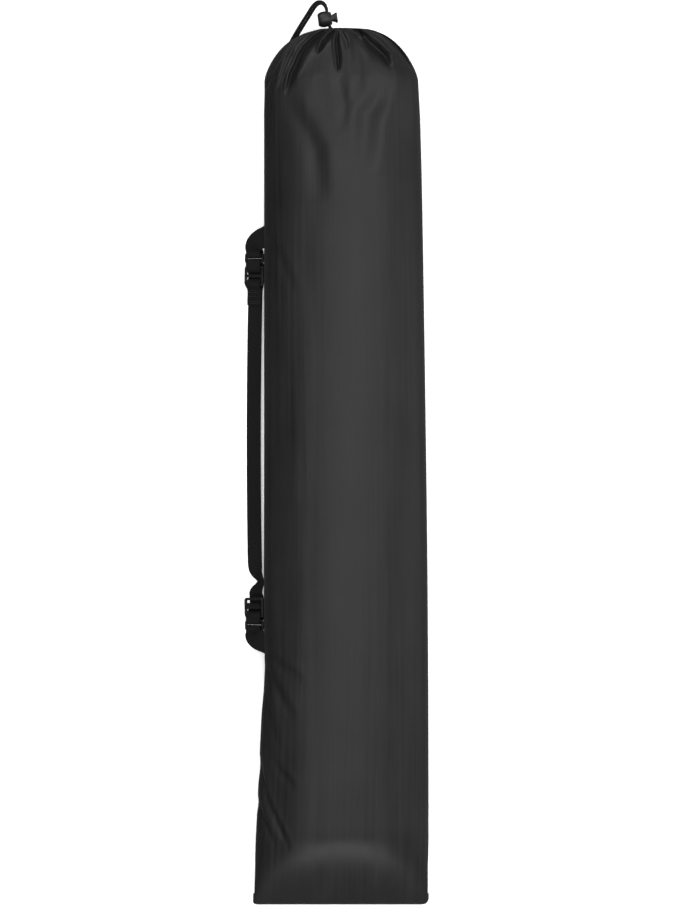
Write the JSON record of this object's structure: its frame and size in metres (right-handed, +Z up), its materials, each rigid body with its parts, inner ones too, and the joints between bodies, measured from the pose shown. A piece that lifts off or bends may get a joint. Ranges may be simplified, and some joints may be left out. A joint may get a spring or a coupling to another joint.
{
  "type": "packed weave pole bag",
  "caption": "Long black drawstring bag lying on its back, with a cord lock at its gathered mouth, a webbing shoulder strap on its left side and spiked weave poles inside.",
  "frame": {"origin": "middle of the flat underside, on the floor the bag lies on", "axes": "+Y along the bag towards its mouth, +X towards its right side, +Z up"},
  "size_m": [0.2118, 1.0322, 0.0765],
  "materials": {
    "black_nylon": "coated plain weave",
    "black_webbing": "ribbed webbing",
    "black_cord": "braided cord",
    "lock_plastic": "satin moulded",
    "buckle_plastic": "satin moulded",
    "white_pvc": "extruded tube",
    "cap_plastic": "moulded",
    "zinc_steel": "zinc plated"
  },
  "bodies": {
    "bag": {"bag_front_panel": "black_nylon", "bag_back_panel": "black_nylon", "bag_front_gathers": "black_nylon", "bag_back_gathers": "black_nylon", "bottom_seam_binding": "black_webbing", "drawstring_casing": "black_nylon", "drawstring_loop": "black_cord", "drawstring_tail_front": "black_cord", "drawstring_tail_back": "black_cord", "drawstring_knot": "black_cord", "pole_01_tube": "white_pvc", "pole_01_cap": "cap_plastic", "pole_01_spike": "zinc_steel", "pole_02_tube": "white_pvc", "pole_02_cap": "cap_plastic", "pole_02_spike": "zinc_steel", "pole_03_tube": "white_pvc", "pole_03_cap": "cap_plastic", "pole_03_spike": "zinc_steel", "pole_04_tube": "white_pvc", "pole_04_cap": "cap_plastic", "pole_04_spike": "zinc_steel", "pole_05_tube": "white_pvc", "pole_05_cap": "cap_plastic", "pole_05_spike": "zinc_steel", "pole_06_tube": "white_pvc", "pole_06_cap": "cap_plastic", "pole_06_spike": "zinc_steel", "pole_07_tube": "white_pvc", "pole_07_cap": "cap_plastic", "pole_07_spike": "zinc_steel", "pole_08_tube": "white_pvc", "pole_08_cap": "cap_plastic", "pole_08_spike": "zinc_steel", "pole_09_tube": "white_pvc", "pole_09_cap": "cap_plastic", "pole_09_spike": "zinc_steel", "pole_10_tube": "white_pvc", "pole_10_cap": "cap_plastic", "pole_10_spike": "zinc_steel", "pole_11_tube": "white_pvc", "pole_11_cap": "cap_plastic", "pole_11_spike": "zinc_steel", "pole_12_tube": "white_pvc", "pole_12_cap": "cap_plastic", "pole_12_spike": "zinc_steel"},
    "strap": {"upper_tab": "black_webbing", "lower_tab": "black_webbing", "upper_ring": "buckle_plastic", "lower_ring": "buckle_plastic", "upper_buckle": "buckle_plastic", "shoulder_strap": "black_webbing", "strap_lower_fold": "black_webbing"},
    "slider": {"lower_slider": "buckle_plastic"},
    "lock": {"cord_lock_body": "lock_plastic", "cord_lock_spring": "zinc_steel"},
    "plunger": {"cord_lock_plunger": "lock_plastic"}
  },
  "joints": [
    {"name": "strap_swing", "type": "hinge", "parent": "bag", "child": "strap", "pos_m": [-0.0913, 0.03, 0.034], "axis": [0, 1, 0], "range_deg": [0, 135]},
    {"name": "lower_slider_slide", "type": "slide", "parent": "strap", "child": "slider", "axis": [-0.0258, 0.9992, -0.0292], "range_m": [0, 0.06], "deforming": ["strap_lower_fold"]},
    {"name": "cord_lock_slide", "type": "slide", "parent": "bag", "child": "lock", "axis": [-0.1392, 0.9903, 0], "range_m": [0, 0.03], "deforming": ["drawstring_tail_front", "drawstring_tail_back"]},
    {"name": "plunger_press", "type": "slide", "parent": "lock", "child": "plunger", "axis": [-0.9903, -0.1392, 0], "range_m": [0, 0.0034], "stiffness_N_per_m": 400, "springref_m": -0.003, "deforming": ["cord_lock_spring"]}
  ]
}
